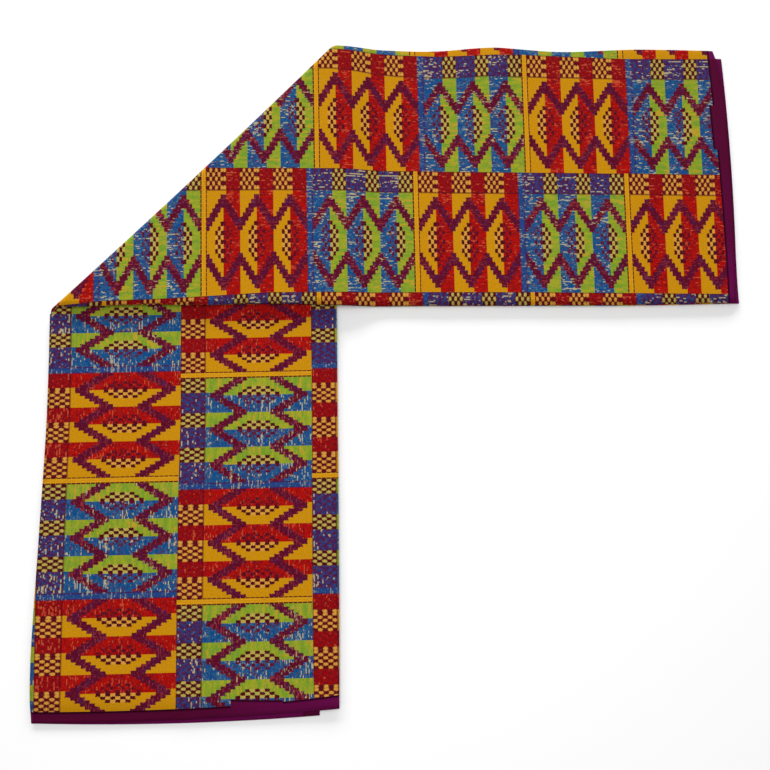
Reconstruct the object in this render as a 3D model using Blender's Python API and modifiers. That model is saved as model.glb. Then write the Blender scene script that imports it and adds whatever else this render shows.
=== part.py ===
# Folded length of printed cotton cloth, lying flat as an L.
# The cloth is pleated back and forth into a strip of four layers. The strip lies along -Y as the
# first arm, turns over at a diagonal crease, and runs on along +X as the second arm, on top of
# the first. Both ends of the strip are the cloth's selvedges.
# Metres, +Z up. The cloth rests on z = 0, with the origin under the middle of its outline.

import math

import bmesh
import bpy
from mathutils import Vector

COLLECTION_NAME = "folded_ankara_cloth"
CLOTH_NAME = "folded_cloth"

# The sheet and its layers
THICKNESS = 0.0010
LAYER_GAP = 0.0004
LAYER_COUNT = 4
PITCH = THICKNESS + LAYER_GAP
STACK_HEIGHT = LAYER_COUNT * THICKNESS + (LAYER_COUNT - 1) * LAYER_GAP
BEND_HEIGHT = STACK_HEIGHT + LAYER_GAP / 2
FOLD_BULGE = PITCH / 2 + THICKNESS / 2

# The crease: how far a thread runs along it while the outer layer turns over, and its inward bow
CREASE_ADVANCE = math.pi * (BEND_HEIGHT - THICKNESS / 2)
CREASE_BOW = 0.0020

# The second arm comes down from the first arm to the table just past the first arm's edge
STEP_DOWN_START = -0.0590
STEP_DOWN_LENGTH = 0.0460

# How finely the sheet is divided
ARM_ONE_STATIONS = 13
CREASE_STATIONS = 7
ARM_TWO_STATIONS = 21
LAYER_DIVISIONS = 10
FOLD_DIVISIONS = 4

# Outlines of the strip seen from above. The first arm's two run from the first selvedge to the axis
# that the layers turn around at the crease, and the second arm's two run on to the last: x, y
LEFT_EDGE = (
    (-0.3610, -0.3638),
    (-0.3648, -0.3000),
    (-0.3648, -0.1800),
    (-0.3645, -0.0600),
    (-0.3667, 0.0486),
)
RIGHT_EDGE = (
    (-0.0570, -0.3497),
    (-0.0581, -0.2400),
    (-0.0612, -0.0600),
    (-0.0645, 0.0900),
    (-0.0755, 0.3488),
)
LOWER_EDGE = (
    (-0.2260, 0.0634),
    (-0.0540, 0.0617),
    (0.2490, 0.0614),
    (0.3642, 0.0640),
)
UPPER_EDGE = (
    (0.0350, 0.3559),
    (0.1080, 0.3605),
    (0.1860, 0.3555),
    (0.2700, 0.3580),
    (0.3652, 0.3561),
)

# Middle of the finished outline, which becomes the origin: x, y
OUTLINE_CENTRE = (-0.0004, -0.0022)

# The cloth's two long edges and three folds, from the first arm's top layer to its bottom layer.
# side: 0 is the left and lower side of the strip, 1 the right and upper side.
# *_inset: how far the line lies inside the outline at the first selvedge, crease and last selvedge.
# *_reach: how far the selvedge's corner there stands past the outline's end.
FOLD_LINES = (
    # side, start_inset, crease_inset, end_inset, start_reach, end_reach
    (0, 0.0000, 0.0004, 0.0016, 0.0000, 0.0000),
    (1, 0.0000, 0.0000, 0.0076, 0.0000, 0.0000),
    (0, 0.0008, 0.0004, 0.0002, 0.0004, 0.0024),
    (1, 0.0195, 0.0004, 0.0000, 0.0058, -0.0090),
    (0, 0.0014, 0.0000, 0.0006, 0.0002, -0.0004),
)

# The first selvedge bows out between the strip's sides. The last one is straight up to its corners,
# and its top layer stands back a little from its bottom layer. The powers set how close to a corner
# its reach begins, and how close to the selvedges the layers spread apart.
START_BOW = 0.0036
END_STAGGER = 0.0018
END_CORNER_POWER = 10
START_SPREAD_POWER = 4
END_SPREAD_POWER = 8

# Shares of an arm's length over which a fold line's inset and the crease's slant fade out
INSET_FADE = 0.45
CREASE_FADE = 0.30

# Soft ridges that lift the layers: x, y, direction in degrees, length, width, height
RIDGES = (
    (-0.2060, -0.2500, 91.0, 0.2600, 0.0340, 0.0013),
    (-0.1150, -0.1700, 97.0, 0.2000, 0.0300, 0.0008),
    (-0.3050, -0.0900, 84.0, 0.1800, 0.0300, 0.0007),
    (0.1080, 0.3250, 82.0, 0.1500, 0.0300, 0.0012),
    (0.0300, 0.1500, 96.0, 0.1600, 0.0340, 0.0007),
    (0.2650, 0.2500, 86.0, 0.2000, 0.0380, 0.0009),
    (0.1750, 0.1300, 78.0, 0.1400, 0.0300, 0.0006),
)
RIDGE_FADE = 0.0500


def clear_scene():
    for old in list(bpy.data.objects):
        bpy.data.objects.remove(old, do_unlink=True)


def smooth(value):
    """Eases a value from 0 to 1."""
    value = min(max(value, 0.0), 1.0)
    return value * value * (3.0 - 2.0 * value)


def along(edge, part):
    """Point a given part of the way along an outline, eased between its rows."""
    spans = [math.dist(edge[k], edge[k + 1]) for k in range(len(edge) - 1)]
    distance = part * sum(spans)
    for k, span in enumerate(spans):
        if distance <= span or k == len(spans) - 1:
            break
        distance -= span
    share = distance / span
    before = Vector(edge[max(k - 1, 0)])
    start = Vector(edge[k])
    end = Vector(edge[k + 1])
    after = Vector(edge[min(k + 2, len(edge) - 1)])
    leave = (end - before) * 0.5
    arrive = (after - start) * 0.5
    square = share * share
    cube = square * share
    point = start * (2 * cube - 3 * square + 1) + leave * (cube - 2 * square + share)
    return point + end * (3 * square - 2 * cube) + arrive * (cube - square)


def blend(first, last, share):
    return first + (last - first) * share


def hump(share):
    """Rises from 0 at one side to 1 in the middle, and falls back to 0."""
    return 4 * share * (1 - share)


def crease_frame():
    """Unit vectors along the crease, from its left end, and away from both arms."""
    lengthwise = (Vector(RIGHT_EDGE[-1]) - Vector(LEFT_EDGE[-1])).normalized()
    return lengthwise, Vector((-lengthwise.y, lengthwise.x))


def arm_edges(arm):
    """Both outlines of an arm. The second arm's start where the outer layer leaves the crease."""
    if arm == 1:
        return LEFT_EDGE, RIGHT_EDGE
    advance = crease_frame()[0] * CREASE_ADVANCE
    lower_start = tuple(Vector(LEFT_EDGE[-1]) + advance)
    upper_start = tuple(Vector(RIGHT_EDGE[-1]) + advance)
    return (lower_start,) + LOWER_EDGE, (upper_start,) + UPPER_EDGE


def fold_line(number, part, arm):
    """Point on one fold or long edge, inside the strip's outline."""
    side, start_inset, crease_inset, end_inset, _, _ = FOLD_LINES[number]
    if arm == 1:
        inset = blend(crease_inset, start_inset, smooth(1 - part / INSET_FADE))
    else:
        inset = blend(crease_inset, end_inset, smooth((part - 1) / INSET_FADE + 1))
    if 0 < number < LAYER_COUNT:
        inset += FOLD_BULGE
    edges = arm_edges(arm)
    here = along(edges[side], part)
    across = (along(edges[1 - side], part) - here).normalized()
    square_on = Vector((1.0, 0.0)) if arm == 1 else Vector((0.0, 1.0))
    return here + across * (inset / abs(across.dot(square_on)))


def section():
    """The strip's section as folded, from the first arm's top layer down.

    Each point has the two fold lines it lies between, its share of the way from the first to the
    second, its depth in layers, and how far it bulges past the second.
    """
    points = []
    for layer in range(LAYER_COUNT):
        for k in range(LAYER_DIVISIONS + 1):
            points.append((layer, layer + 1, k / LAYER_DIVISIONS, layer, 0.0))
        if layer == LAYER_COUNT - 1:
            break
        for k in range(1, FOLD_DIVISIONS):
            turn = math.pi * k / FOLD_DIVISIONS
            depth = layer + (1 - math.cos(turn)) / 2
            points.append((layer, layer + 1, 1.0, depth, PITCH / 2 * math.sin(turn)))
    return points


def ridge_lift(place):
    """Height that the soft ridges add at a point of the strip."""
    lift = 0.0
    for ridge_x, ridge_y, direction, length, width, height in RIDGES:
        angle = math.radians(direction)
        run = place - Vector((ridge_x, ridge_y))
        lengthwise = run.x * math.cos(angle) + run.y * math.sin(angle)
        crosswise = run.y * math.cos(angle) - run.x * math.sin(angle)
        lift += height * math.exp(-((2 * lengthwise / length) ** 2) - (2 * crosswise / width) ** 2)
    return lift


def plan(point, part, arm):
    """Place in the table's plane of one section point, and how far across the strip it is."""
    first_number, last_number, share, _, bulge = point
    first = fold_line(first_number, part, arm)
    last = fold_line(last_number, part, arm)
    place = blend(first, last, share) + (last - first).normalized() * bulge
    across = blend(FOLD_LINES[first_number][0], FOLD_LINES[last_number][0], share)
    return place, across


def selvedge_reach(point, across, arm):
    """How far past the outline's end the selvedge stands at one section point."""
    first_number, last_number, _, depth, _ = point
    corner_reach = {}
    for number in (first_number, last_number):
        side, _, _, _, start_reach, end_reach = FOLD_LINES[number]
        corner_reach[side] = start_reach if arm == 1 else end_reach
    if arm == 1:
        return blend(corner_reach[0], corner_reach[1], across) + START_BOW * hump(across)
    near_left = corner_reach[0] * (1 - across) ** END_CORNER_POWER
    near_right = corner_reach[1] * across ** END_CORNER_POWER
    return near_left + near_right - END_STAGGER * depth / (LAYER_COUNT - 1)


def layer_height(level, lift):
    """Height of a layer counted up from the table, where the top layer is lifted by a ridge."""
    return THICKNESS / 2 + PITCH * level + lift * level / (LAYER_COUNT - 1)


def arm_one_point(point, part):
    """First arm: flat on the table, from the first selvedge to the crease."""
    place, across = plan(point, part, 1)
    bow = CREASE_BOW * hump(across) * smooth((part - 1) / CREASE_FADE + 1)
    place -= crease_frame()[1] * bow
    place.y -= selvedge_reach(point, across, 1) * (1 - part) ** START_SPREAD_POWER
    open_share = smooth((LOWER_EDGE[0][1] - RIDGE_FADE / 2 - place.y) / RIDGE_FADE)
    return place, layer_height(LAYER_COUNT - 1 - point[3], ridge_lift(place) * open_share)


def turn_point(point, part):
    """Crease: every layer turns over around one axis, the first arm's bottom layer outermost."""
    place, height = arm_one_point(point, 1.0)
    radius = BEND_HEIGHT - height
    turn = math.pi * part
    lengthwise, outward = crease_frame()
    place += outward * (radius * math.sin(turn)) + lengthwise * (CREASE_ADVANCE * part)
    return place, BEND_HEIGHT - radius * math.cos(turn)


def arm_two_point(point, part):
    """Second arm: over the first arm, then down to the table, and on to the last selvedge."""
    place, across = plan(point, part, 2)
    crease_end, _ = turn_point(point, 1.0)
    planned_end, _ = plan(point, 0.0, 2)
    place += (crease_end - planned_end) * smooth(1 - part / CREASE_FADE)
    place.x += selvedge_reach(point, across, 2) * part ** END_SPREAD_POWER
    table_share = smooth((place.x - STEP_DOWN_START) / STEP_DOWN_LENGTH)
    carried = (2 * BEND_HEIGHT - STACK_HEIGHT) * (1 - table_share)
    open_share = smooth((place.x - STEP_DOWN_START - STEP_DOWN_LENGTH / 2) / RIDGE_FADE)
    return place, carried + layer_height(point[3], ridge_lift(place) * open_share)


def stations():
    """Every station along the strip: the function that places it, and how far along it is."""
    rows = [(arm_one_point, k / (ARM_ONE_STATIONS - 1)) for k in range(ARM_ONE_STATIONS)]
    rows += [(turn_point, k / (CREASE_STATIONS + 1)) for k in range(1, CREASE_STATIONS + 1)]
    rows += [(arm_two_point, k / (ARM_TWO_STATIONS - 1)) for k in range(ARM_TWO_STATIONS)]
    return rows


def cloth_material():
    material = bpy.data.materials.new("printed_cotton")
    material.use_nodes = True
    shader = material.node_tree.nodes["Principled BSDF"]
    shader.inputs["Base Color"].default_value = (0.42, 0.13, 0.05, 1.0)
    shader.inputs["Roughness"].default_value = 0.75
    shader.inputs["Metallic"].default_value = 0.0
    return material


def build_cloth(collection):
    """The whole cloth as one sheet: a flat grid, folded point by point, then given its thickness."""
    profile = section()
    rows = stations()
    mesh = bpy.data.meshes.new(CLOTH_NAME)
    sheet = bmesh.new()
    bmesh.ops.create_grid(sheet, x_segments=len(profile) - 1, y_segments=len(rows) - 1, size=0.5)
    for vertex in sheet.verts:
        column = round((vertex.co.x + 0.5) * (len(profile) - 1))
        row = round((vertex.co.y + 0.5) * (len(rows) - 1))
        place_at, part = rows[row]
        place, height = place_at(profile[column], part)
        vertex.co = (place.x - OUTLINE_CENTRE[0], place.y - OUTLINE_CENTRE[1], height)
    sheet.to_mesh(mesh)
    sheet.free()
    cloth = bpy.data.objects.new(CLOTH_NAME, mesh)
    collection.objects.link(cloth)
    mesh.materials.append(cloth_material())
    mesh.shade_smooth()
    body = cloth.modifiers.new("Thickness", "SOLIDIFY")
    body.thickness = THICKNESS
    body.offset = 0.0
    body.use_even_offset = True
    return cloth


def main():
    clear_scene()
    collection = bpy.data.collections.new(COLLECTION_NAME)
    bpy.context.scene.collection.children.link(collection)
    build_cloth(collection)


main()
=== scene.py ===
import math

import bpy
import numpy as np
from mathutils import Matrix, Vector


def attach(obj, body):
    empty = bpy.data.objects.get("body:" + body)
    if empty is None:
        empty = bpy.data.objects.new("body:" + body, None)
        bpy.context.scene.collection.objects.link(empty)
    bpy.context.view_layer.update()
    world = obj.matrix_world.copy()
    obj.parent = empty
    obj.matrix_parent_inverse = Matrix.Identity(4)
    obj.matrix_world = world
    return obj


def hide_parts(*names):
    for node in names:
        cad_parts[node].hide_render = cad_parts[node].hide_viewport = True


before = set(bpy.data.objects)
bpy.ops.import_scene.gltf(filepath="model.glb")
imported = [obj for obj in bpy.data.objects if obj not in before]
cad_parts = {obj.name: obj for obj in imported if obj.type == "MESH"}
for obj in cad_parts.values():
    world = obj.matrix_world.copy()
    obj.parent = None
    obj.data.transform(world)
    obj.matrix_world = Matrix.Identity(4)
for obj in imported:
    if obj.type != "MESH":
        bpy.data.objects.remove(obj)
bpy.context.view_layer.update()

# What a user would change in the folded cloth
foldedCloth = {
    "sheetThickness": 0.0005,
    "layerCount": 4,
    "stackHeight": 0.0052,
    "turnHeight": 0.0054,  # height of the axis that the layers turn around at the crease
    "creaseBow": 0.0020,
    "cornerTuck": 0.0039,  # how much further the inner layers reach into the crease's left corner
    "stepDownStart": -0.0590,
    "stepDownLength": 0.0460,
    "armOneRows": 84,
    "turnRows": 15,
    "armTwoRows": 104,
    "layerColumns": 40,
    "foldColumns": 8,
    "startBow": 0.0036,
    "endBow": 0.0034,
    "endStagger": 0.0018,
    "endCornerPower": 10,
    "startSpreadPower": 4,
    "endSpreadPower": 8,
    "insetFade": 0.45,
    "creaseFade": 0.30,
    "outlineCentre": (-0.0004, -0.0022),
    "ridgeFade": 0.0500,
    "flatLength": 0.022,  # how far from its two ends the strip is pressed flatter
    "flatShare": 0.60,
    "flatFromY": -0.3640,
    "flatFromX": 0.3720,
    "tuckPower": 3,
    "swellHeight": 0.00007,
    "flatSize": (1.190, 1.145),  # the sheet as cut, across the strip and from selvedge to selvedge
}

# Outlines of the strip from above: x, y. The first arm's two end at the crease's axis.
leftEdge = (
    (-0.3610, -0.3638), (-0.3648, -0.3000), (-0.3648, -0.1800), (-0.3647, -0.0600), (-0.3684, 0.0470),
)
rightEdge = (
    (-0.0570, -0.3497), (-0.0581, -0.2400), (-0.0612, -0.0600), (-0.0645, 0.0900), (-0.0755, 0.3488),
)
lowerEdge = (
    (-0.3305, 0.0586), (-0.2712, 0.0606), (-0.2050, 0.0603), (-0.1600, 0.0621), (-0.1000, 0.0617),
    (-0.0434, 0.0606), (0.0300, 0.0612), (0.1300, 0.0613), (0.2490, 0.0614), (0.3648, 0.0640),
)
upperEdge = ((0.0350, 0.3559), (0.1080, 0.3605), (0.1860, 0.3555), (0.2700, 0.3580), (0.3661, 0.3561))

# The two long edges and three folds, from the first arm's top layer down.
# side, inset at first selvedge, at crease, at last selvedge, reach of its first corner, of its last
foldLines = (
    (0, 0.0000, 0.0004, 0.0016, 0.0000, 0.0000),
    (1, 0.0000, 0.0000, 0.0076, 0.0000, 0.0000),
    (0, 0.0008, 0.0004, 0.0002, 0.0004, 0.0024),
    (1, 0.0195, 0.0004, 0.0000, 0.0058, -0.0090),
    (0, 0.0014, 0.0000, 0.0006, 0.0002, -0.0004),
)

# Soft ridges and troughs pressed into the layers: x, y, direction in degrees, length, width, height
ridges = (
    (-0.2060, -0.2500, 91.0, 0.2600, 0.0340, 0.0013),
    (-0.1150, -0.1700, 97.0, 0.2000, 0.0300, 0.0008),
    (-0.3050, -0.0900, 84.0, 0.1800, 0.0300, 0.0007),
    (0.1080, 0.3250, 82.0, 0.1500, 0.0300, 0.0012),
    (0.0300, 0.1500, 96.0, 0.1600, 0.0340, 0.0007),
    (0.2650, 0.2500, 86.0, 0.2000, 0.0380, 0.0009),
    (0.1750, 0.1300, 78.0, 0.1400, 0.0300, 0.0006),
)

# Slow unevenness of the layers: radians to a metre along x and y, turn to a layer, start, share
swellWaves = (
    (41, 23, 1.3, 0.0, 1.0),
    (-29, 47, 2.1, 0.7, 1.0),
    (83, -61, 0.9, 2.0, 0.6),
    (17, 97, 1.7, 0.0, 0.5),
)

# Where the print lies on the two visible layers. Rows are counted across the cloth, and the tables
# give the place of a row's line at stations along each arm.
firstArmStations = (-0.340, -0.250, -0.150, -0.050, 0.055)
firstArmRows = (
    (0.0, (-0.3588, -0.3632, -0.3660, -0.3672, -0.3710)),
    (5 / 28, (-0.3327, -0.3360, -0.3386, -0.3400, -0.3451)),
    (1.0, (-0.2182, -0.2208, -0.2236, -0.2246, -0.2285)),
    (33 / 28, (-0.1932, -0.1950, -0.1972, -0.1988, -0.2028)),
    (2.0, (-0.0818, -0.0843, -0.0862, -0.0878, -0.0904)),
)
secondArmStations = (
    -0.357, -0.338, -0.314, -0.250, -0.200, -0.134, -0.070, 0.000, 0.050, 0.100, 0.140, 0.260, 0.340,
)
secondArmRows = (
    (0.0, (0.3578,) * 7 + (0.3528, 0.3509, 0.3529, 0.3536, 0.3480, 0.3479)),
    (5 / 28, (0.3345,) * 7 + (0.3273, 0.3247, 0.3272, 0.3265, 0.3237, 0.3237)),
    (1.0, (
        0.2170, 0.2170, 0.2170, 0.2169, 0.2167, 0.2164, 0.2162,
        0.2150, 0.2143, 0.2138, 0.2134, 0.2120, 0.2110,
    )),
    (2.0, (
        0.0618, 0.0635, 0.0666, 0.0692, 0.0721, 0.0764, 0.0768,
        0.0779, 0.0780, 0.0780, 0.0780, 0.0770, 0.0762,
    )),
)
rowHeight = 0.1390  # of a row beyond the tables' lines

# What a user would change in where the print lies
printAlong = {
    # repeats along the strip = a + b x + c y + d x y
    "firstArm": (0.0382, -0.0885, 4.3187, 0.0540),
    "secondArm": (1.8912, 4.4166, 0.0849, -0.3470),
    "selvedgeWidth": 0.0111,
    "selvedgeFlare": 0.0022,  # how much wider the first selvedge is at its right end
    "flarePower": 6,
    "firstArmSeenTo": 0.075,  # y, a little way in under the second arm
    "lastPrintEnd": ((0.3489, 0.350), (0.3543, 0.070)),  # where the print ends at the last selvedge
    "lastPrintBow": 0.0024,
    "lastArmRow": 6.0,  # row of the cloth that the second arm's top layer begins with
}

lastLayer = foldedCloth["layerCount"] - 1
layerPitch = (foldedCloth["stackHeight"] - foldedCloth["sheetThickness"]) / lastLayer
foldBulge = layerPitch / 2 + foldedCloth["sheetThickness"] / 2
creaseAdvance = math.pi * (foldedCloth["turnHeight"] - foldedCloth["sheetThickness"] / 2)


def smooth(value):
    value = np.clip(value, 0.0, 1.0)
    return value * value * (3.0 - 2.0 * value)


def hump(share):
    return 4 * share * (1 - share)


def nearStart(part, fade):
    return smooth(1 - part / fade)


def nearEnd(part, fade):
    return smooth((part - 1) / fade + 1)


def pointAlong(edge, part):
    # on a soft curve through the edge's points
    spans = [math.dist(edge[k], edge[k + 1]) for k in range(len(edge) - 1)]
    distance = part * sum(spans)
    for k, span in enumerate(spans):
        if distance <= span or k == len(spans) - 1:
            break
        distance -= span
    share = distance / span
    before, start, end, after = (
        np.array(edge[min(max(k + step, 0), len(edge) - 1)]) for step in (-1, 0, 1, 2)
    )
    leave, arrive = (end - before) * 0.5, (after - start) * 0.5
    square, cube = share * share, share * share * share
    return (
        start * (2 * cube - 3 * square + 1)
        + leave * (cube - 2 * square + share)
        + end * (3 * square - 2 * cube)
        + arrive * (cube - square)
    )


creaseLengthwise = np.array(rightEdge[-1]) - np.array(leftEdge[-1])
creaseLengthwise /= np.linalg.norm(creaseLengthwise)
creaseOutward = np.array((-creaseLengthwise[1], creaseLengthwise[0]))


def armEdges(arm):
    if arm == 1:
        return leftEdge, rightEdge
    advance = creaseLengthwise * creaseAdvance
    return (tuple(leftEdge[-1] + advance),) + lowerEdge, (tuple(rightEdge[-1] + advance),) + upperEdge


def foldPoint(number, part, arm):
    side, startInset, creaseInset, endInset, _, _ = foldLines[number]
    if arm == 1:
        inset = creaseInset + (startInset - creaseInset) * nearStart(part, foldedCloth["insetFade"])
    else:
        inset = creaseInset + (endInset - creaseInset) * nearEnd(part, foldedCloth["insetFade"])
    if 0 < number < foldedCloth["layerCount"]:
        inset += foldBulge
    edges = armEdges(arm)
    here = pointAlong(edges[side], part)
    across = pointAlong(edges[1 - side], part) - here
    across /= np.linalg.norm(across)
    squareOn = abs(across[0]) if arm == 1 else abs(across[1])
    return here + across * (inset / squareOn)


def sectionPoints():
    # the strip's section: first line, last line, share between them, depth in layers, bulge
    rows = []
    for layer in range(foldedCloth["layerCount"]):
        for k in range(foldedCloth["layerColumns"] + 1):
            rows.append((layer, layer + 1, k / foldedCloth["layerColumns"], layer, 0.0))
        if layer < lastLayer:
            for k in range(1, foldedCloth["foldColumns"]):
                turn = math.pi * k / foldedCloth["foldColumns"]
                depth = layer + (1 - math.cos(turn)) / 2
                rows.append((layer, layer + 1, 1.0, depth, layerPitch / 2 * math.sin(turn)))
    return np.array(rows)


columns = sectionPoints()
firstLine, lastLine = columns[:, 0].astype(int), columns[:, 1].astype(int)
shares, depths, bulges = columns[:, 2:3], columns[:, 3], columns[:, 4:5]
lineSides = np.array([row[0] for row in foldLines], float)
acrossStrip = lineSides[firstLine] + (lineSides[lastLine] - lineSides[firstLine]) * shares[:, 0]


def ridgeLift(place):
    lift = np.zeros(len(place))
    for ridgeX, ridgeY, direction, length, width, height in ridges:
        angle = math.radians(direction)
        runX, runY = place[:, 0] - ridgeX, place[:, 1] - ridgeY
        lengthwise = runX * math.cos(angle) + runY * math.sin(angle)
        crosswise = runY * math.cos(angle) - runX * math.sin(angle)
        lift += height * np.exp(-((2 * lengthwise / length) ** 2) - (2 * crosswise / width) ** 2)
    return lift


def softSwell(place, level):
    swell = np.zeros(len(place))
    for alongX, alongY, perLayer, start, share in swellWaves:
        swell += share * np.sin(alongX * place[:, 0] + alongY * place[:, 1] + perLayer * level + start)
    return swell * foldedCloth["swellHeight"]


def planRow(part, arm):
    lines = np.array([foldPoint(number, part, arm) for number in range(len(foldLines))])
    run = lines[lastLine] - lines[firstLine]
    unit = run / np.linalg.norm(run, axis=1, keepdims=True)
    return lines[firstLine] + run * shares + unit * bulges


def selvedgeReach(arm):
    # how far each column's end stands past the outline's
    column = 4 if arm == 1 else 5
    reaches = np.array([row[column] for row in foldLines])
    leftReach = np.where(lineSides[firstLine] == 0, reaches[firstLine], reaches[lastLine])
    rightReach = np.where(lineSides[firstLine] == 1, reaches[firstLine], reaches[lastLine])
    if arm == 1:
        reach = leftReach + (rightReach - leftReach) * acrossStrip
        return reach + foldedCloth["startBow"] * hump(acrossStrip)
    power = foldedCloth["endCornerPower"]
    reach = leftReach * (1 - acrossStrip) ** power + rightReach * acrossStrip ** power
    reach += foldedCloth["endBow"] * hump(acrossStrip)
    return reach - foldedCloth["endStagger"] * depths / lastLayer


def layerHeight(level, lift, place):
    height = foldedCloth["sheetThickness"] / 2 + layerPitch * level + lift * level / lastLayer
    return height + softSwell(place, level) * np.minimum(level, 1.0)


def pressedFlat(fromEnd):
    return 1 - foldedCloth["flatShare"] * nearStart(fromEnd, foldedCloth["flatLength"])


def armOneRow(part):
    place = planRow(part, 1)
    creaseShare = nearEnd(part, foldedCloth["creaseFade"])
    bow = foldedCloth["creaseBow"] * hump(acrossStrip) * creaseShare
    place = place - creaseOutward * bow[:, None]
    place[:, 1] -= selvedgeReach(1) * (1 - part) ** foldedCloth["startSpreadPower"]
    tuck = foldedCloth["cornerTuck"] * np.maximum(1 - acrossStrip, 0) ** foldedCloth["tuckPower"]
    place[:, 1] += tuck * (1 - depths / lastLayer) * creaseShare
    fade = foldedCloth["ridgeFade"]
    openShare = smooth((lowerEdge[0][1] - fade / 2 - place[:, 1]) / fade)
    height = layerHeight(lastLayer - depths, ridgeLift(place) * openShare, place)
    return place, height * pressedFlat(place[:, 1] - foldedCloth["flatFromY"])


def turnRow(part):
    place, height = armOneRow(1.0)
    radius = foldedCloth["turnHeight"] - height
    turn = math.pi * part
    place = place + creaseOutward * (radius * math.sin(turn))[:, None]
    place = place + creaseLengthwise * (creaseAdvance * part)
    return place, foldedCloth["turnHeight"] - radius * math.cos(turn)


turnEnd, _ = turnRow(1.0)
planStart = planRow(0.0, 2)


def armTwoRow(part):
    place = planRow(part, 2) + (turnEnd - planStart) * nearStart(part, foldedCloth["creaseFade"])
    place[:, 0] += selvedgeReach(2) * part ** foldedCloth["endSpreadPower"]
    start, length = foldedCloth["stepDownStart"], foldedCloth["stepDownLength"]
    tableShare = smooth((place[:, 0] - start) / length)
    carried = (2 * foldedCloth["turnHeight"] - foldedCloth["stackHeight"]) * (1 - tableShare)
    openShare = smooth((place[:, 0] - start - length / 2) / foldedCloth["ridgeFade"])
    height = layerHeight(depths, ridgeLift(place) * openShare, place)
    return place, carried + height * pressedFlat(foldedCloth["flatFromX"] - place[:, 0])


def evenParts(count):
    return [k / (count - 1) for k in range(count)]


print("folding the sheet")
rowPlaces = [armOneRow(part) for part in evenParts(foldedCloth["armOneRows"])]
rowPlaces += [turnRow((k + 1) / (foldedCloth["turnRows"] + 1)) for k in range(foldedCloth["turnRows"])]
rowPlaces += [armTwoRow(part) for part in evenParts(foldedCloth["armTwoRows"])]
sheet = np.array([np.column_stack((place, height)) for place, height in rowPlaces])
sheet[:, :, :2] -= foldedCloth["outlineCentre"]
rowCount, columnCount = sheet.shape[:2]
armOneRows = foldedCloth["armOneRows"]
armTwoStart = armOneRows + foldedCloth["turnRows"]

print("laying the print on the sheet")
along = np.zeros((rowCount, columnCount))  # distance along each thread from the first selvedge
along[1:] = np.cumsum(np.linalg.norm(np.diff(sheet, axis=0), axis=2), axis=0)
across = np.zeros((rowCount, columnCount))  # and across the cloth from its first long edge
across[:, 1:] = np.cumsum(np.linalg.norm(np.diff(sheet, axis=1), axis=2), axis=1)


def repeatsAt(arm, places):
    a, b, c, d = printAlong[arm]
    x, y = places[..., 0], places[..., 1]
    return a + b * x + c * y + d * x * y


def rowAt(rows, stations, station, place, direction):
    # row of the print at a place, between the rows' lines. direction is the way that rows are counted
    lines = [np.interp(station, stations, line) for _, line in rows]
    values = [value for value, _ in rows]
    found = values[0] + (place - lines[0]) * direction / rowHeight
    for k in range(len(rows) - 1):
        step = (values[k + 1] - values[k]) / (lines[k + 1] - lines[k])
        past = (place - lines[k]) * direction > 0
        found = np.where(past, values[k] + (place - lines[k]) * step, found)
    beyond = (place - lines[-1]) * direction
    return np.where(beyond > 0, values[-1] + beyond / rowHeight, found)


repeats = np.full((rowCount, columnCount), np.nan)
rows = np.full((rowCount, columnCount), np.nan)
topLayer, bottomLayer = depths <= 0.5, depths >= lastLayer - 0.5
armTwo = sheet[armTwoStart:]
repeats[0] = repeatsAt("firstArm", sheet[0])
repeats[armTwoStart:] = repeatsAt("secondArm", armTwo)
seen = np.zeros((rowCount, columnCount), bool)
seen[:armOneRows] = (sheet[:armOneRows, :, 1] < printAlong["firstArmSeenTo"]) & topLayer
repeats[seen] = repeatsAt("firstArm", sheet[seen])
rows[seen] = rowAt(firstArmRows, firstArmStations, sheet[seen][:, 1], sheet[seen][:, 0], 1)

# the layer on top of the second arm is fitted, and the rows below it share what is left of the cloth
lastTop = rowAt(secondArmRows, secondArmStations, armTwo[..., 0], armTwo[..., 1], -1)
lastTop += printAlong["lastArmRow"]
firstOfLast = int(np.argmax(bottomLayer))
rowsPerMetre = lastTop[:, firstOfLast] / across[armTwoStart:, firstOfLast]
rows[armTwoStart:] = np.where(bottomLayer, lastTop, across[armTwoStart:] * rowsPerMetre[:, None])
lastOfFirst = int(np.nonzero(topLayer)[0][-1])
startRows = rowAt(firstArmRows, firstArmStations, sheet[0, :, 1], sheet[0, :, 0], 1)
beyondFirst = across[0] - across[0, lastOfFirst]
wholeRest = rows[armTwoStart, -1] - startRows[lastOfFirst]
shareOfRest = beyondFirst / beyondFirst[-1]
rows[0] = np.where(topLayer, startRows, startRows[lastOfFirst] + shareOfRest * wholeRest)

# between what is fitted, the print runs evenly along each thread
for column in range(columnCount):
    for values in (repeats, rows):
        known = ~np.isnan(values[:, column])
        values[:, column] = np.interp(along[:, column], along[known, column], values[known, column])

flare = printAlong["selvedgeFlare"] * acrossStrip ** printAlong["flarePower"]
fromFirst = along - printAlong["selvedgeWidth"] - flare
(endX, endY), (lowX, lowY) = printAlong["lastPrintEnd"]
downward = np.clip((endY - sheet[..., 1]) / (endY - lowY), 0, 1)
printEnd = endX + (lowX - endX) * downward + printAlong["lastPrintBow"] * hump(downward)
toLast = np.where(np.arange(rowCount)[:, None] >= armTwoStart, printEnd - sheet[..., 0], 1.0)

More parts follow.
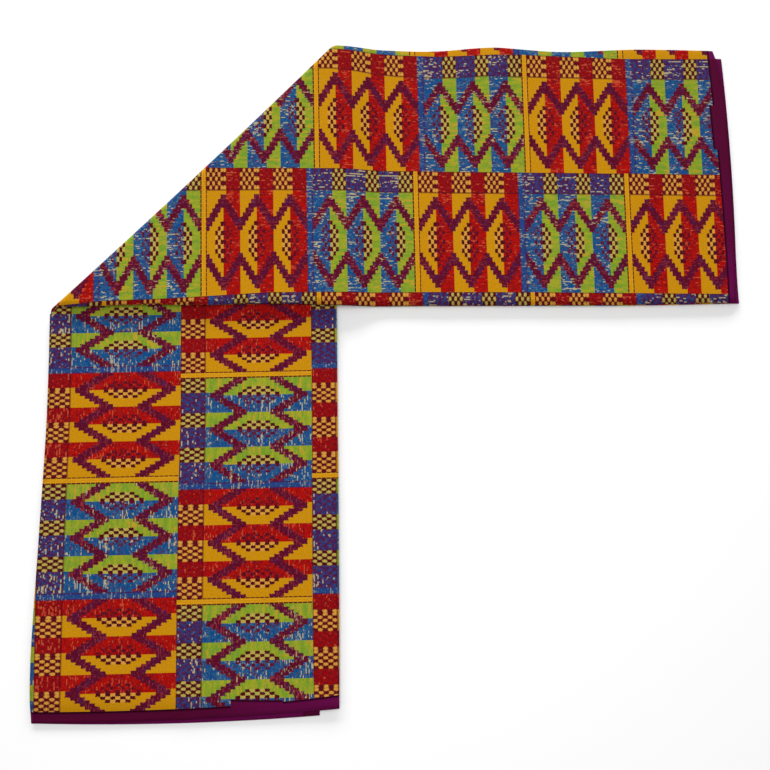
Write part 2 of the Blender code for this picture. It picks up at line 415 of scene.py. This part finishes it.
bpy.ops.object.select_all(action="DESELECT")
bpy.ops.mesh.primitive_grid_add(x_subdivisions=columnCount - 1, y_subdivisions=rowCount - 1, size=2)
cloth = bpy.context.object
cloth.name = cloth.data.name = "foldedAnkaraCloth"
gridPlaces = np.zeros(len(cloth.data.vertices) * 3)
cloth.data.vertices.foreach_get("co", gridPlaces)
gridPlaces = gridPlaces.reshape(-1, 3)
gridColumns = np.rint((gridPlaces[:, 0] + 1) / 2 * (columnCount - 1)).astype(int)
gridRows = np.rint((gridPlaces[:, 1] + 1) / 2 * (rowCount - 1)).astype(int)
cloth.data.vertices.foreach_set("co", sheet[gridRows, gridColumns].ravel())
loopVertices = np.zeros(len(cloth.data.loops), int)
cloth.data.loops.foreach_get("vertex_index", loopVertices)
loopRows, loopColumns = gridRows[loopVertices], gridColumns[loopVertices]
cloth.data.uv_layers[0].name = "printPlace"
edgePlace = cloth.data.uv_layers.new(name="selvedgePlace")
printPlace = cloth.data.uv_layers["printPlace"]
for layer, first, second in ((printPlace, repeats, rows), (edgePlace, fromFirst, toLast)):
    places = np.column_stack((first[loopRows, loopColumns], second[loopRows, loopColumns]))
    layer.data.foreach_set("uv", places.ravel())
cloth.data.update()

bpy.ops.object.shade_smooth()
body = cloth.modifiers.new("clothBody", "SOLIDIFY")
body.thickness = foldedCloth["sheetThickness"]
body.offset = 0.0
body.use_even_offset = True
bpy.ops.object.modifier_apply(modifier=body.name)


# What a user would change in the print. Its cells are the small squares that it is made of
printLook = {
    "repeatCells": 76.6,
    "rowCells": 28,
    "headerCells": 5,
    "evenRowShift": 0.536,  # of a repeat
    "lineStart": 1.0,  # cells from the middle of a coloured line back to the start of its block
    "lineCells": 2.3,
    "lineMiddle": 1.2,
    "yellowLineHalf": 0.75,
    "yellowThreadHalf": 0.12,
    "blueLine": (0.35, 1.85),
    "dashShare": 0.88,
    "partCells": 12,
    "firstColourCells": 7,
    "zigzagCells": 3,
    "checkReach": 4.5,  # from the middle of a lozenge to the ends of its checks
    "checkHalfWidth": 2.5,
    "fleckReach": 6.5,
    "moreFlecksByChecks": 0.10,
    "widestHeaderCell": 5.0,
    "rowThread": 0.18,
    "cellRim": (0.60, 0.55),  # where a header's cell darkens towards its corners, and by how much
    "edgeWander": 0.32,  # how unevenly the print's small shapes end
    "wanderAlong": (1.7, 2.6, 9.0),  # waves to a cell along and across, seed
    "wanderAcross": (2.0, 2.2, 3.0),
    "inkShare": 0.83,
    "grain": 0.62,  # how much the dye differs from thread to thread
    "grainPlace": (1.6, 3.8, 7.0),
    "lint": (0.56, 0.9),  # noise level that it starts at, gain
    "lintPlace": (1.4, 3.0, 17.0),
    "weaveThreads": 7.0,
    "weaveStrength": 0.25,
    "weaveDepth": 0.0004,
    "roughness": 0.82,
    "gloss": 0.03,
}

# Broken flecks: length in cells, amount, seed, threads to a cell, share of ink
flecks = {
    "dark": (1.3, 0.18, 71.0, 4.0, 0.75),
    "cream": (1.9, 0.22, 3.0, 5.0, 0.85),
    "pale": (1.0, 0.25, 61.0, 4.6, 0.60),
    "red": (1.8, 0.18, 11.0, 5.0, 0.75),
    "gold": (5.0, 0.20, 23.0, 3.0, 0.75),
    "purple": (1.3, 0.30, 31.0, 4.6, 1.00),
    "header": (1.8, 0.23, 47.0, 4.0, 1.00),
}

# Slow changes from one ink to another: size along and across in cells, seed, gain, middle
mottles = {
    "red": (2.6, 0.5, 5.0, 3.0, 0.50),
    "blue": (1.8, 0.6, 15.0, 3.0, 0.25),
    "green": (5.0, 1.0, 25.0, 4.0, 0.45),
    "zigzag": (3.0, 1.4, 85.0, 2.0, 0.00),
    "zigzagCream": (2.0, 1.0, 95.0, 6.0, 0.30),
    "checks": (0.9, 0.7, 55.0, 9.0, 1.10),
    "blueHeader": (1.1, 0.8, 35.0, 8.0, 0.50),
    "yellowLine": (1.0, 3.0, 65.0, 3.0, 0.20),
}

# How strongly some of its shapes cover the ink below them
strengths = {
    "greenFlecks": 0.3,
    "zigzagFlecks": 0.65,
    "moreInBlue": 0.15,  # and how much more on the blue blocks' zigzags
    "redChecks": 0.4,
    "redHeaderFlecks": 0.7,
    "blueChecks": 0.6,
    "blueHeaderFlecks": 0.8,
    "rowThread": 0.6,
    "linePaleFlecks": 0.8,
    "lineCreamFlecks": 0.6,
}

# What a user would change in the selvedges
selvedgeLook = {
    "firstPanel": (1.395, 1.775),  # rows of the print that the plain label panels take up
    "lastPanel": (6.405, 6.785),
    "firstPanelReach": (0.0235, -0.0124),  # at row 0, and change to a row
    "lastPanelReach": 0.0040,
    "darkThread": (-0.0009, 520.0),  # its place, and one over half its width
    "toneWaves": (0.05, 0.09),  # to a cell along and across
    "toneGain": 1.2,
    "toneRow": 0.9,  # row of the print where the brighter tone begins, and how fast it comes
    "toneByRow": 0.65,
    "rowsOfCloth": 6.0,
}

# Inks of the print, as they look in the photo: red, green and blue from 0 to 255
inks = {
    "yellow": (200, 139, 8),
    "lineYellow": (214, 152, 24),
    "red": (182, 10, 2),
    "deepRed": (140, 12, 12),
    "headerRed": (148, 6, 8),
    "blue": (12, 72, 132),
    "lineBlue": (30, 66, 126),
    "paleBlue": (104, 126, 142),
    "teal": (42, 94, 130),
    "green": (114, 152, 42),
    "lime": (154, 162, 38),
    "gold": (198, 152, 42),
    "purple": (92, 8, 38),
    "violet": (62, 32, 88),
    "maroon": (76, 8, 22),
    "headerMaroon": (92, 8, 22),
    "sideMaroon": (86, 10, 30),
    "darkEdge": (30, 0, 14),
    "cream": (196, 182, 136),
    "peach": (212, 150, 58),
    "khaki": (182, 164, 78),
    "lightRed": (204, 88, 54),
    "streakRed": (148, 50, 56),
    "selvedge": (86, 8, 48),
    "selvedgeBright": (106, 12, 76),
    "lint": (142, 124, 116),
}


def ink(name):
    # as a surface colour, which is a little darker than it looks in the studio's light
    linear = [((c / 255 + 0.055) / 1.055) ** 2.4 if c > 10 else c / 255 / 12.92 for c in inks[name]]
    return (*[c * printLook["inkShare"] for c in linear], 1.0)


def plug(tree, socket, value):
    if isinstance(value, bpy.types.NodeSocket):
        tree.links.new(value, socket)
    else:
        socket.default_value = value


def calc(tree, operation, *values):
    node = tree.nodes.new("ShaderNodeMath")
    node.operation = operation
    for socket, value in zip(node.inputs, values):
        plug(tree, socket, value)
    return node.outputs[0]


def mixInk(tree, share, first, second):
    node = tree.nodes.new("ShaderNodeMix")
    node.data_type = "RGBA"
    for number, value in ((0, share), (6, first), (7, second)):
        plug(tree, node.inputs[number], ink(value) if isinstance(value, str) else value)
    return node.outputs[2]


def newGroup(name, inputs, outputs):
    group = bpy.data.node_groups.new(name, "ShaderNodeTree")
    for socketName, kind, value in inputs:
        socket = group.interface.new_socket(socketName, in_out="INPUT", socket_type=kind)
        socket.default_value = value
    for socketName, kind in outputs:
        group.interface.new_socket(socketName, in_out="OUTPUT", socket_type=kind)
    source = group.nodes.new("NodeGroupInput")
    sink = group.nodes.new("NodeGroupOutput")
    return group, source, sink


def useGroup(tree, group, **values):
    node = tree.nodes.new("ShaderNodeGroup")
    node.node_tree = group
    for name, value in values.items():
        plug(tree, node.inputs[name], value)
    return node


def joinPlace(tree, x, y, z=0.0):
    node = tree.nodes.new("ShaderNodeCombineXYZ")
    for socket, value in zip(node.inputs, (x, y, z)):
        plug(tree, socket, value)
    return node.outputs[0]


def softNoise(tree, x, y, z=0.0, detail=1.0):
    node = tree.nodes.new("ShaderNodeTexNoise")
    plug(tree, node.inputs["Vector"], joinPlace(tree, x, y, z))
    node.inputs["Scale"].default_value = 1.0
    node.inputs["Detail"].default_value = detail
    return node.outputs["Fac"]


def makeStreaks():
    # slubs: broken streaks one thread high along the strip, more on some threads and in some places
    patchSize, patchSeed, patchGain, threadGain = (11.0, 5.0), 40.0, 0.40, 0.20
    usualLevel, amountGain, edgeGain = 0.72, 0.4, 18.0
    threadRun, threadStep = 97.0, 0.37
    group, source, sink = newGroup(
        "slubStreaks",
        (
            ("Along", "NodeSocketFloat", 0.0),
            ("Across", "NodeSocketFloat", 0.0),
            ("Threads", "NodeSocketFloat", 4.0),
            ("Length", "NodeSocketFloat", 4.0),
            ("Amount", "NodeSocketFloat", 0.3),
            ("Seed", "NodeSocketFloat", 0.0),
        ),
        (("Mask", "NodeSocketFloat"),),
    )
    put = source.outputs
    thread = calc(group, "FLOOR", calc(group, "MULTIPLY", put["Across"], put["Threads"]))
    random = group.nodes.new("ShaderNodeTexWhiteNoise")
    random.noise_dimensions = "2D"
    plug(group, random.inputs["Vector"], joinPlace(group, thread, put["Seed"]))
    run = calc(group, "DIVIDE", put["Along"], put["Length"])
    run = calc(group, "MULTIPLY_ADD", random.outputs["Value"], threadRun, run)
    streak = softNoise(group, run, calc(group, "MULTIPLY", thread, threadStep), put["Seed"])
    patch = softNoise(
        group,
        calc(group, "DIVIDE", put["Along"], patchSize[0]),
        calc(group, "DIVIDE", put["Across"], patchSize[1]),
        calc(group, "ADD", put["Seed"], patchSeed),
    )
    byThread = calc(group, "SUBTRACT", random.outputs["Value"], 0.5)
    level = calc(group, "MULTIPLY_ADD", calc(group, "SUBTRACT", patch, 0.5), patchGain, streak)
    level = calc(group, "MULTIPLY_ADD", byThread, threadGain, level)
    limit = calc(group, "SUBTRACT", usualLevel, calc(group, "MULTIPLY", put["Amount"], amountGain))
    mask = calc(group, "MULTIPLY", calc(group, "SUBTRACT", level, limit), edgeGain)
    mask = calc(group, "MINIMUM", calc(group, "MAXIMUM", mask, 0.0), 1.0)
    group.links.new(mask, sink.inputs["Mask"])
    return group


def makeWeave():
    # plain weave: crossing threads, with a slow unevenness
    slowAlong, slowAcross, crossShare = 1.3, 4.0, 0.25
    group, source, sink = newGroup(
        "plainWeave",
        (
            ("Along", "NodeSocketFloat", 0.0),
            ("Across", "NodeSocketFloat", 0.0),
            ("Threads", "NodeSocketFloat", 6.0),
        ),
        (("Height", "NodeSocketFloat"),),
    )
    put = source.outputs
    turn = calc(group, "MULTIPLY", put["Threads"], math.pi)
    warp = calc(group, "SINE", calc(group, "MULTIPLY", put["Along"], turn))
    weft = calc(group, "SINE", calc(group, "MULTIPLY", put["Across"], turn))
    cross = calc(group, "MULTIPLY", warp, weft)
    slow = softNoise(
        group,
        calc(group, "MULTIPLY", put["Along"], slowAlong),
        calc(group, "MULTIPLY", put["Across"], slowAcross),
        detail=3.0,
    )
    height = calc(group, "MULTIPLY_ADD", cross, crossShare, slow)
    group.links.new(height, sink.inputs["Height"])
    return group


def makePrint(streakGroup):
    # the strip print: headers of small checks over panels of zigzags and lozenges
    group, source, sink = newGroup(
        "stripPrint",
        (("Repeats", "NodeSocketFloat", 0.0), ("Rows", "NodeSocketFloat", 0.0)),
        (("Colour", "NodeSocketColor"),),
    )
    look = printLook

    def do(operation, *values):
        return calc(group, operation, *values)

    def below(value, limit):
        return do("LESS_THAN", value, limit)

    def inverse(mask):
        return do("SUBTRACT", 1.0, mask)

    def atLeast(value, limit):
        return inverse(below(value, limit))

    def both(*masks):
        result = masks[0]
        for mask in masks[1:]:
            result = do("MULTIPLY", result, mask)
        return result

    def faint(mask, share):
        return do("MULTIPLY", mask, share)

    def paint(mask, under, over):
        return mixInk(group, mask, under, over)

    def fromMiddleOf(value, width):
        return do("ABSOLUTE", do("SUBTRACT", value, width / 2))

    def everyOther(first, second):
        return do("FLOORED_MODULO", do("ADD", first, second), 2.0)

    halfCells = look["repeatCells"] / 2
    alongCells = do("MULTIPLY", source.outputs["Repeats"], look["repeatCells"])
    acrossCells = do("MULTIPLY", source.outputs["Rows"], look["rowCells"])
    rowCells = do("MULTIPLY", do("FRACT", source.outputs["Rows"]), look["rowCells"])

    def wander(wavesAlong, wavesAcross, seed):
        placeAlong, placeAcross = faint(alongCells, wavesAlong), faint(acrossCells, wavesAcross)
        noise = softNoise(group, placeAlong, placeAcross, seed, 2.0)
        return do("MULTIPLY", do("SUBTRACT", noise, 0.5), look["edgeWander"] * 2)

    def mottle(kind):
        sizeAlong, sizeAcross, seed, gain, middle = mottles[kind]
        placeAlong = do("DIVIDE", alongCells, sizeAlong)
        placeAcross = do("DIVIDE", acrossCells, sizeAcross)
        noise = softNoise(group, placeAlong, placeAcross, seed, 2.0)
        share = do("MULTIPLY_ADD", do("SUBTRACT", noise, 0.5), gain, middle)
        return do("MINIMUM", do("MAXIMUM", share, 0.0), 1.0)

    def fleck(kind, extraAmount=0.0):
        length, amount, seed, threads, share = flecks[kind]
        node = useGroup(
            group, streakGroup, Along=alongCells, Across=acrossCells,
            Threads=threads, Length=length, Amount=do("ADD", amount, extraAmount), Seed=seed,
        )
        return faint(node.outputs["Mask"], share)

    # blocks along the strip: a coloured line, then three parts of two colours each
    evenRow = inverse(do("FLOORED_MODULO", do("FLOOR", source.outputs["Rows"]), 2.0))
    shifted = do("SUBTRACT", source.outputs["Repeats"], faint(evenRow, look["evenRowShift"]))
    halves = do("MULTIPLY_ADD", shifted, 2.0, look["lineStart"] / halfCells)
    blueBlock = do("FLOORED_MODULO", do("FLOOR", halves), 2.0)
    blockCells = do("MULTIPLY", do("FRACT", halves), halfCells)
    inLine = below(blockCells, look["lineCells"])
    partCells = do("MAXIMUM", do("SUBTRACT", blockCells, look["lineCells"]), 0.0)
    partCells = do("MODULO", partCells, look["partCells"])
    roughPart = do("ADD", partCells, wander(*look["wanderAlong"]))
    cell = do("FLOOR", do("MAXIMUM", roughPart, 0.0))
    fromPeak = do("FLOOR", fromMiddleOf(roughPart, look["partCells"]))

    # rows across the strip: a header, then a panel with a zigzag at each side and lozenges between
    inHeader = below(rowCells, look["headerCells"])
    roughRow = do("ADD", rowCells, wander(*look["wanderAcross"]))
    rowCell = do("MAXIMUM", do("FLOOR", roughRow), 0.0)
    panelRow = do("MAXIMUM", do("SUBTRACT", rowCell, look["headerCells"]), 0.0)
    lastPanelRow = look["rowCells"] - look["headerCells"] - 1
    edgeRow = do("MINIMUM", panelRow, do("SUBTRACT", lastPanelRow, panelRow))
    zigzagRow = do("SUBTRACT", edgeRow, fromPeak)
    inLozenge = atLeast(zigzagRow, look["zigzagCells"] + 0.5)
    inZigzag = both(atLeast(zigzagRow, 0.5), below(zigzagRow, look["zigzagCells"] + 0.5))
    # the colours change a cell earlier inside the lozenges
    secondColour = atLeast(partCells, do("SUBTRACT", look["firstColourCells"], inLozenge))

    # small checks in the lozenges, more broken up on the side of the second ink
    fromMiddle = do("ADD", fromMiddleOf(panelRow, lastPanelRow), fromPeak)
    closeToPeak = below(fromPeak, look["checkHalfWidth"])
    inChecks = both(inLozenge, below(fromMiddle, look["checkReach"]), closeToPeak)
    aroundChecks = both(inLozenge, below(fromMiddle, look["fleckReach"]))
    darkCheck = everyOther(panelRow, fromPeak)
    # light side: the first half of a yellow block's part and the second half of a blue one's
    lightSide = do("ABSOLUTE", do("SUBTRACT", blueBlock, below(partCells, look["partCells"] / 2)))
    broken = do("MAXIMUM", lightSide, mottle("checks"))

    darkFlecks = fleck("dark", faint(aroundChecks, look["moreFlecksByChecks"]))
    creamFlecks, paleFlecks = fleck("cream"), fleck("pale")
    purpleFlecks, headerFlecks = fleck("purple"), fleck("header")

    red = paint(mottle("red"), "red", "deepRed")
    red = paint(darkFlecks, red, "sideMaroon")
    red = paint(fleck("red"), red, "lightRed")
    blue = paint(mottle("blue"), "blue", "teal")
    blue = paint(darkFlecks, blue, "purple")
    blue = paint(paleFlecks, blue, "paleBlue")
    blue = paint(creamFlecks, blue, "cream")
    green = paint(mottle("green"), "green", "lime")
    green = paint(fleck("gold"), green, "gold")
    green = paint(faint(purpleFlecks, strengths["greenFlecks"]), green, "peach")
    panel = paint(
        blueBlock,
        paint(secondColour, "yellow", red),
        paint(secondColour, blue, green),
    )
    checkInk = paint(lightSide, paint(blueBlock, "sideMaroon", "purple"), "maroon")
    panel = paint(both(inChecks, lightSide), panel, paint(blueBlock, "peach", "khaki"))
    panel = paint(both(inChecks, darkCheck, broken), panel, checkInk)

    zigzag = paint(mottle("zigzag"), "purple", "violet")
    fleckShare = do("MULTIPLY_ADD", blueBlock, strengths["moreInBlue"], strengths["zigzagFlecks"])
    zigzag = paint(both(purpleFlecks, fleckShare), zigzag, "streakRed")
    zigzag = paint(both(creamFlecks, blueBlock, mottle("zigzagCream")), zigzag, "cream")
    panel = paint(inZigzag, panel, zigzag)

    # header of small checks, whose cells darken towards their corners
    firstColour = below(partCells, look["firstColourCells"])
    toCorner = do("ADD", fromMiddleOf(do("FRACT", roughPart), 1), fromMiddleOf(do("FRACT", roughRow), 1))
    rimStart, rimShare = look["cellRim"]
    cellRim = faint(atLeast(toCorner, rimStart), rimShare)
    yellowCheck = everyOther(do("MINIMUM", cell, look["widestHeaderCell"]), rowCell)
    plainCheck = everyOther(cell, rowCell)
    yellowHeader = paint(yellowCheck, "headerMaroon", paint(cellRim, "peach", "headerMaroon"))
    redHeader = paint(faint(plainCheck, strengths["redChecks"]), "headerRed", "sideMaroon")
    redHeader = paint(faint(headerFlecks, strengths["redHeaderFlecks"]), redHeader, "lightRed")
    blueHeader = paint(mottle("blueHeader"), "violet", "lineBlue")
    blueHeader = paint(faint(plainCheck, strengths["blueChecks"]), blueHeader, "purple")
    blueHeader = paint(faint(headerFlecks, strengths["blueHeaderFlecks"]), blueHeader, "cream")
    greenHeader = paint(plainCheck, paint(cellRim, "khaki", "maroon"), "maroon")
    header = paint(
        blueBlock,
        paint(firstColour, redHeader, yellowHeader),
        paint(firstColour, greenHeader, blueHeader),
    )
    colour = paint(inHeader, panel, header)

    # thin dark threads at both sides of the header
    fromHeader = do("ABSOLUTE", do("SUBTRACT", rowCells, look["headerCells"]))
    rowThread = below(do("MINIMUM", rowCells, fromHeader), look["rowThread"])
    colour = paint(faint(rowThread, strengths["rowThread"]), colour, "maroon")

    # coloured lines between the blocks, the yellow one between two dashed threads
    fromLine = do("ABSOLUTE", do("SUBTRACT", blockCells, look["lineMiddle"]))
    dash = paint(below(do("FRACT", rowCells), look["dashShare"]), "yellow", "maroon")
    lineShade = paint(mottle("yellowLine"), "lineYellow", "yellow")
    yellowLine = paint(below(fromLine, look["yellowThreadHalf"]), lineShade, "yellow")
    yellowLine = paint(below(fromLine, look["yellowLineHalf"]), dash, yellowLine)
    blueStart, blueEnd = look["blueLine"]
    inBlueLine = both(atLeast(blockCells, blueStart), below(blockCells, blueEnd))
    blueLine = paint(inBlueLine, "violet", "lineBlue")
    blueLine = paint(faint(paleFlecks, strengths["linePaleFlecks"]), blueLine, "paleBlue")
    blueLine = paint(faint(creamFlecks, strengths["lineCreamFlecks"]), blueLine, "cream")
    colour = paint(inLine, colour, paint(blueBlock, yellowLine, blueLine))
    group.links.new(colour, sink.inputs["Colour"])
    return group


def makePrintedCotton():
    material = bpy.data.materials.new("printedCotton")
    material.use_nodes = True
    tree = material.node_tree
    shader = tree.nodes["Principled BSDF"]
    look, edge = printLook, selvedgeLook
    places = []
    for name in ("printPlace", "selvedgePlace"):
        uvMap = tree.nodes.new("ShaderNodeUVMap")
        uvMap.uv_map = name
        split = tree.nodes.new("ShaderNodeSeparateXYZ")
        tree.links.new(uvMap.outputs[0], split.inputs[0])
        places += [split.outputs["X"], split.outputs["Y"]]
    repeatsPlace, rowsPlace, firstPlace, lastPlace = places

    def do(operation, *values):
        return calc(tree, operation, *values)

    alongCells = do("MULTIPLY", repeatsPlace, look["repeatCells"])
    acrossCells = do("MULTIPLY", rowsPlace, look["rowCells"])

    def noiseAt(wavesAlong, wavesAcross, seed=0.0, detail=1.0):
        placeAlong = do("MULTIPLY", alongCells, wavesAlong)
        return softNoise(tree, placeAlong, do("MULTIPLY", acrossCells, wavesAcross), seed, detail)

    def inPanel(panel):
        low, high = panel
        return do("COMPARE", rowsPlace, (low + high) / 2, (high - low) / 2)

    streakGroup, weaveGroup = makeStreaks(), makeWeave()
    stripPrint = useGroup(tree, makePrint(streakGroup), Repeats=repeatsPlace, Rows=rowsPlace)

    # selvedges, with a plain label panel that reaches a little further in
    reachStart, reachChange = edge["firstPanelReach"]
    firstReach = do("MULTIPLY_ADD", rowsPlace, -reachChange, -reachStart)
    firstEdge = do("MULTIPLY_ADD", inPanel(edge["firstPanel"]), firstReach, firstPlace)
    lastEdge = do("MULTIPLY_ADD", inPanel(edge["lastPanel"]), -edge["lastPanelReach"], lastPlace)
    fromPrint = do("MINIMUM", firstEdge, lastEdge)
    inSelvedge = do("LESS_THAN", fromPrint, 0.0)
    clothRow = do("FLOORED_MODULO", rowsPlace, edge["rowsOfCloth"])
    tone = do("MULTIPLY", do("SUBTRACT", clothRow, edge["toneRow"]), edge["toneByRow"])
    slowTone = do("SUBTRACT", noiseAt(*edge["toneWaves"]), 0.5)
    tone = do("MULTIPLY_ADD", slowTone, edge["toneGain"], tone)
    tone = do("MINIMUM", do("MAXIMUM", tone, 0.0), 1.0)
    bandInk = mixInk(tree, tone, "selvedge", "selvedgeBright")
    threadPlace, threadGain = edge["darkThread"]
    fromThread = do("ABSOLUTE", do("SUBTRACT", fromPrint, threadPlace))
    darkShare = do("SUBTRACT", 1.0, do("MULTIPLY", fromThread, threadGain))
    bandInk = mixInk(tree, do("MAXIMUM", darkShare, 0.0), bandInk, "darkEdge")
    colour = mixInk(tree, inSelvedge, stripPrint.outputs["Colour"], bandInk)

    # pale lint and uneven dye, thread by thread
    lintStart, lintGain = look["lint"]
    lint = do("SUBTRACT", noiseAt(*look["lintPlace"], 2.0), lintStart)
    lint = do("MAXIMUM", do("MULTIPLY", lint, lintGain), 0.0)
    lint = do("MULTIPLY", lint, do("SUBTRACT", 1.0, inSelvedge))
    colour = mixInk(tree, lint, colour, "lint")
    shade = tree.nodes.new("ShaderNodeHueSaturation")
    dye = do("MULTIPLY_ADD", noiseAt(*look["grainPlace"], 2.0), look["grain"], 1.0 - look["grain"] / 2)
    plug(tree, shade.inputs["Value"], dye)
    plug(tree, shade.inputs["Color"], colour)
    tree.links.new(shade.outputs["Color"], shader.inputs["Base Color"])

    threads = look["weaveThreads"]
    weave = useGroup(tree, weaveGroup, Along=alongCells, Across=acrossCells, Threads=threads)
    bump = tree.nodes.new("ShaderNodeBump")
    bump.inputs["Strength"].default_value = look["weaveStrength"]
    bump.inputs["Distance"].default_value = look["weaveDepth"]
    tree.links.new(weave.outputs["Height"], bump.inputs["Height"])
    tree.links.new(bump.outputs["Normal"], shader.inputs["Normal"])
    shader.inputs["Roughness"].default_value = look["roughness"]
    shader.inputs["Specular IOR Level"].default_value = look["gloss"]
    return material


print("printing the cotton")
cloth.data.materials.clear()
cloth.data.materials.append(makePrintedCotton())

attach(cloth, "root")
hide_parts("folded_cloth")

# What a user would change in the studio
studio = {
    "floorSize": 6.0,
    "floorDrop": 0.0001,
    "floorColour": (0.90, 0.90, 0.90, 1.0),
    "floorRoughness": 0.9,
    "floorGloss": 0.1,
    "worldStrength": 0.385,
    # name, place, width, height, watts: a big softbox overhead, and a low one behind for the shadows
    "softboxes": (
        ("overheadSoftbox", (-0.10, -0.05, 1.50), 1.2, 1.2, 13.4),
        ("lowSoftbox", (-0.70, 5.00, 1.40), 6.5, 1.30, 400.0),
    ),
    "cameraTarget": (-0.0116, -0.0218, 0.0),
    "cameraPlace": (-0.0116, -0.2042, 0.9841),
    "sensorWidth": 36.0,
    "lens": 44.42,
}

print("setting the studio")
bpy.ops.object.select_all(action="DESELECT")
bpy.ops.mesh.primitive_plane_add(size=studio["floorSize"], location=(0, 0, -studio["floorDrop"]))
floor = bpy.context.object
floor.name = "floor"
floorMaterial = bpy.data.materials.new("paleFloor")
floorMaterial.use_nodes = True
floorShader = floorMaterial.node_tree.nodes["Principled BSDF"]
floorShader.inputs["Base Color"].default_value = studio["floorColour"]
floorShader.inputs["Roughness"].default_value = studio["floorRoughness"]
floorShader.inputs["Specular IOR Level"].default_value = studio["floorGloss"]
floor.data.materials.append(floorMaterial)


def aim(thing, place, target):
    thing.location = place
    thing.rotation_euler = (Vector(target) - Vector(place)).to_track_quat("-Z", "Y").to_euler()


for name, place, width, height, watts in studio["softboxes"]:
    bpy.ops.object.light_add(type="AREA")
    softbox = bpy.context.object
    softbox.name = name
    softbox.data.shape = "RECTANGLE"
    softbox.data.size, softbox.data.size_y = width, height
    softbox.data.energy = watts
    softbox.visible_camera = False
    aim(softbox, place, (0, 0, 0))

world = bpy.data.worlds.new("studioWorld")
world.use_nodes = True
background = world.node_tree.nodes["Background"]
background.inputs["Color"].default_value = (1, 1, 1, 1)
background.inputs["Strength"].default_value = studio["worldStrength"]
bpy.context.scene.world = world

bpy.ops.object.camera_add()
camera = bpy.context.object
camera.name = "photoCamera"
camera.data.sensor_width = studio["sensorWidth"]
camera.data.lens = studio["lens"]
aim(camera, studio["cameraPlace"], studio["cameraTarget"])
bpy.context.scene.camera = camera
bpy.context.scene.view_settings.view_transform = "Standard"

print("done")
